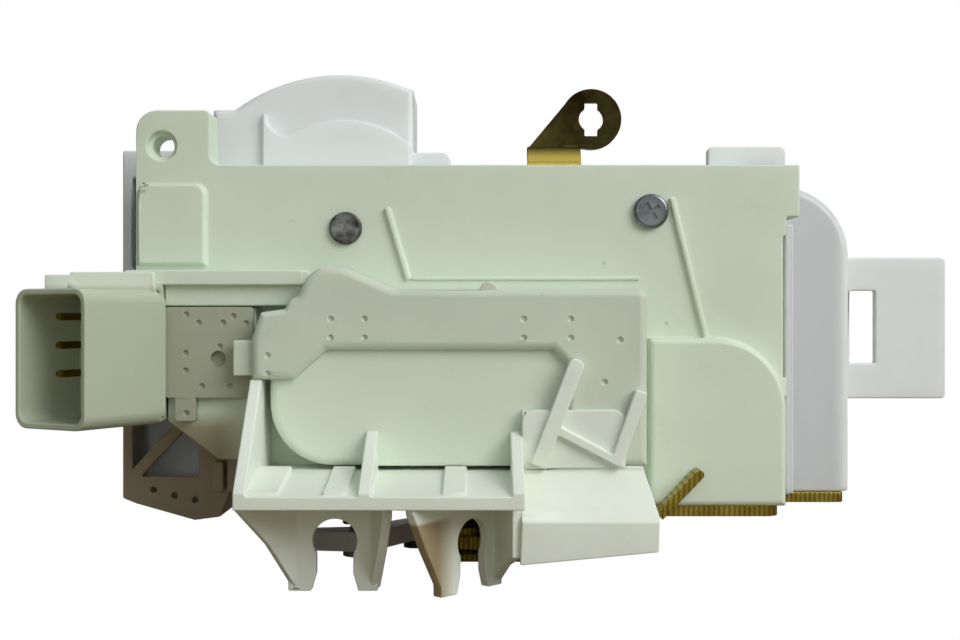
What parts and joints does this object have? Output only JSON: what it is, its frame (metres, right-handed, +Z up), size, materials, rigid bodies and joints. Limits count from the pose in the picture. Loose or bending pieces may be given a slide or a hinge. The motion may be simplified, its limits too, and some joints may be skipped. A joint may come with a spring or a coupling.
{
  "type": "door latch actuator",
  "caption": "Vehicle door latch with claw, pawl and electric locking actuator in a plastic housing, with cable forks, connector and release lever.",
  "frame": {"origin": "where the striker stands on the latch face when the door is shut", "axes": "+Z up, away from the latch face; +Y the way the striker leaves; +X along the housing, to the right seen from the actuator's front"},
  "size_m": [0.1792, 0.0796, 0.1002],
  "materials": {
    "cream_plastic": "moulded cream plastic with a faint green cast, semi-matt",
    "white_clear_plastic": "translucent natural white plastic",
    "connector_plastic": "cream-grey plastic",
    "grey_green_plastic": "grey-green plastic",
    "arm_plastic": "greyer cream plastic",
    "bracket_plastic": "bright cream plastic",
    "white_plastic": "white plastic",
    "black_plastic": "black plastic",
    "gold_steel": "steel, yellow passivated",
    "dark_gold_steel": "steel, dark olive-gold passivated",
    "bright_steel": "zinc plated steel",
    "spring_steel": "dark spring wire",
    "brass": "stamped brass",
    "rubber": "black rubber",
    "gear_plastic": "natural gear plastic",
    "magnet": "sintered ferrite"
  },
  "bodies": {
    "housing": {"main_housing": "cream_plastic", "rear_cover": "white_clear_plastic", "connector_shell": "connector_plastic", "connector_pins": "brass", "terminal_plate": "grey_green_plastic", "lead_frame_cover": "arm_plastic", "bus_bars": "brass", "cable_bracket": "bracket_plastic", "housing_gasket": "rubber", "cover_screw": "bright_steel", "rear_screws": "bright_steel", "motor_can": "bright_steel", "motor_end_cap": "black_plastic", "motor_terminals": "brass", "motor_magnets": "magnet", "gear_pin": "bright_steel", "lever_rivet": "bright_steel", "lever_return_spring": "spring_steel", "inside_lever_pin": "bright_steel", "inside_lever_spring": "spring_steel", "lower_latch_plate": "gold_steel", "upper_latch_plate": "gold_steel", "plate_standoffs": "gold_steel", "claw_bush": "gold_steel", "claw_spring": "spring_steel", "pawl_rivet": "gold_steel", "pawl_spring": "spring_steel", "striker_buffer": "rubber", "latch_case": "white_plastic", "ajar_switch": "black_plastic", "lock_switch": "black_plastic"},
    "claw": {"claw": "gold_steel", "claw_cover": "black_plastic"},
    "pawl": {"pawl": "gold_steel", "pawl_cover": "black_plastic"},
    "release_lever": {"release_lever": "dark_gold_steel", "lever_bush": "white_plastic"},
    "inside_lever": {"inside_release_lever": "white_plastic"},
    "gear": {"drive_gear": "gear_plastic"},
    "worm": {"worm": "brass", "motor_shaft": "bright_steel", "motor_armature": "bright_steel"},
    "slider": {"lock_slider": "white_plastic"},
    "ajar_button": {"ajar_switch_button": "white_plastic"},
    "lock_button": {"lock_switch_button": "white_plastic"}
  },
  "joints": [
    {"name": "claw_turn", "type": "hinge", "parent": "housing", "child": "claw", "pos_m": [0.0097, -0.003, 0.004], "axis": [0, 0, 1], "range_deg": [0, 60], "stiffness_Nm_per_rad": 0.02, "springref_deg": -11.46},
    {"name": "inside_lever_pull", "type": "hinge", "parent": "housing", "child": "inside_lever", "pos_m": [-0.031, -0.027, 0.0065], "axis": [0, 0, 1], "range_deg": [0, 16], "stiffness_Nm_per_rad": 0.02, "springref_deg": -11.46},
    {"name": "pawl_lift", "type": "hinge", "parent": "housing", "child": "pawl", "pos_m": [-0.0103, -0.008, 0.0032], "axis": [0, 0, -1], "range_deg": [0, 12.2]},
    {"name": "release_lever_pull", "type": "hinge", "parent": "housing", "child": "release_lever", "pos_m": [-0.0325, -0.033, 0.0674], "axis": [0, -1, 0], "range_deg": [0, 15], "stiffness_Nm_per_rad": 0.05, "springref_deg": -11.46},
    {"name": "worm_spin", "type": "hinge", "parent": "housing", "child": "worm", "pos_m": [-0.05, -0.03, 0.0344], "axis": [-1, 0, 0], "range_deg": [0, 2165]},
    {"name": "gear_turn", "type": "hinge", "parent": "housing", "child": "gear", "pos_m": [-0.05, -0.03, 0.0537], "axis": [0, -1, 0], "range_deg": [0, 90.5]},
    {"name": "lock_slide", "type": "slide", "parent": "housing", "child": "slider", "axis": [-1, 0, 0], "range_m": [0, 0.0098]},
    {"name": "ajar_button_press", "type": "slide", "parent": "housing", "child": "ajar_button", "axis": [0, 0, 1], "range_m": [0, 0.0006], "stiffness_N_per_m": 200, "springref_m": -0.0004},
    {"name": "lock_button_press", "type": "slide", "parent": "housing", "child": "lock_button", "axis": [1, 0, 0], "range_m": [0, 0.0006], "stiffness_N_per_m": 200, "springref_m": -0.0004}
  ],
  "couplings": [
    {"joint": "pawl_lift", "follows": "inside_lever_pull", "ratio": 0.75},
    {"joint": "gear_turn", "follows": "lock_slide", "rad_per_m": 160},
    {"joint": "worm_spin", "follows": "lock_slide", "rad_per_m": 3840}
  ]
}
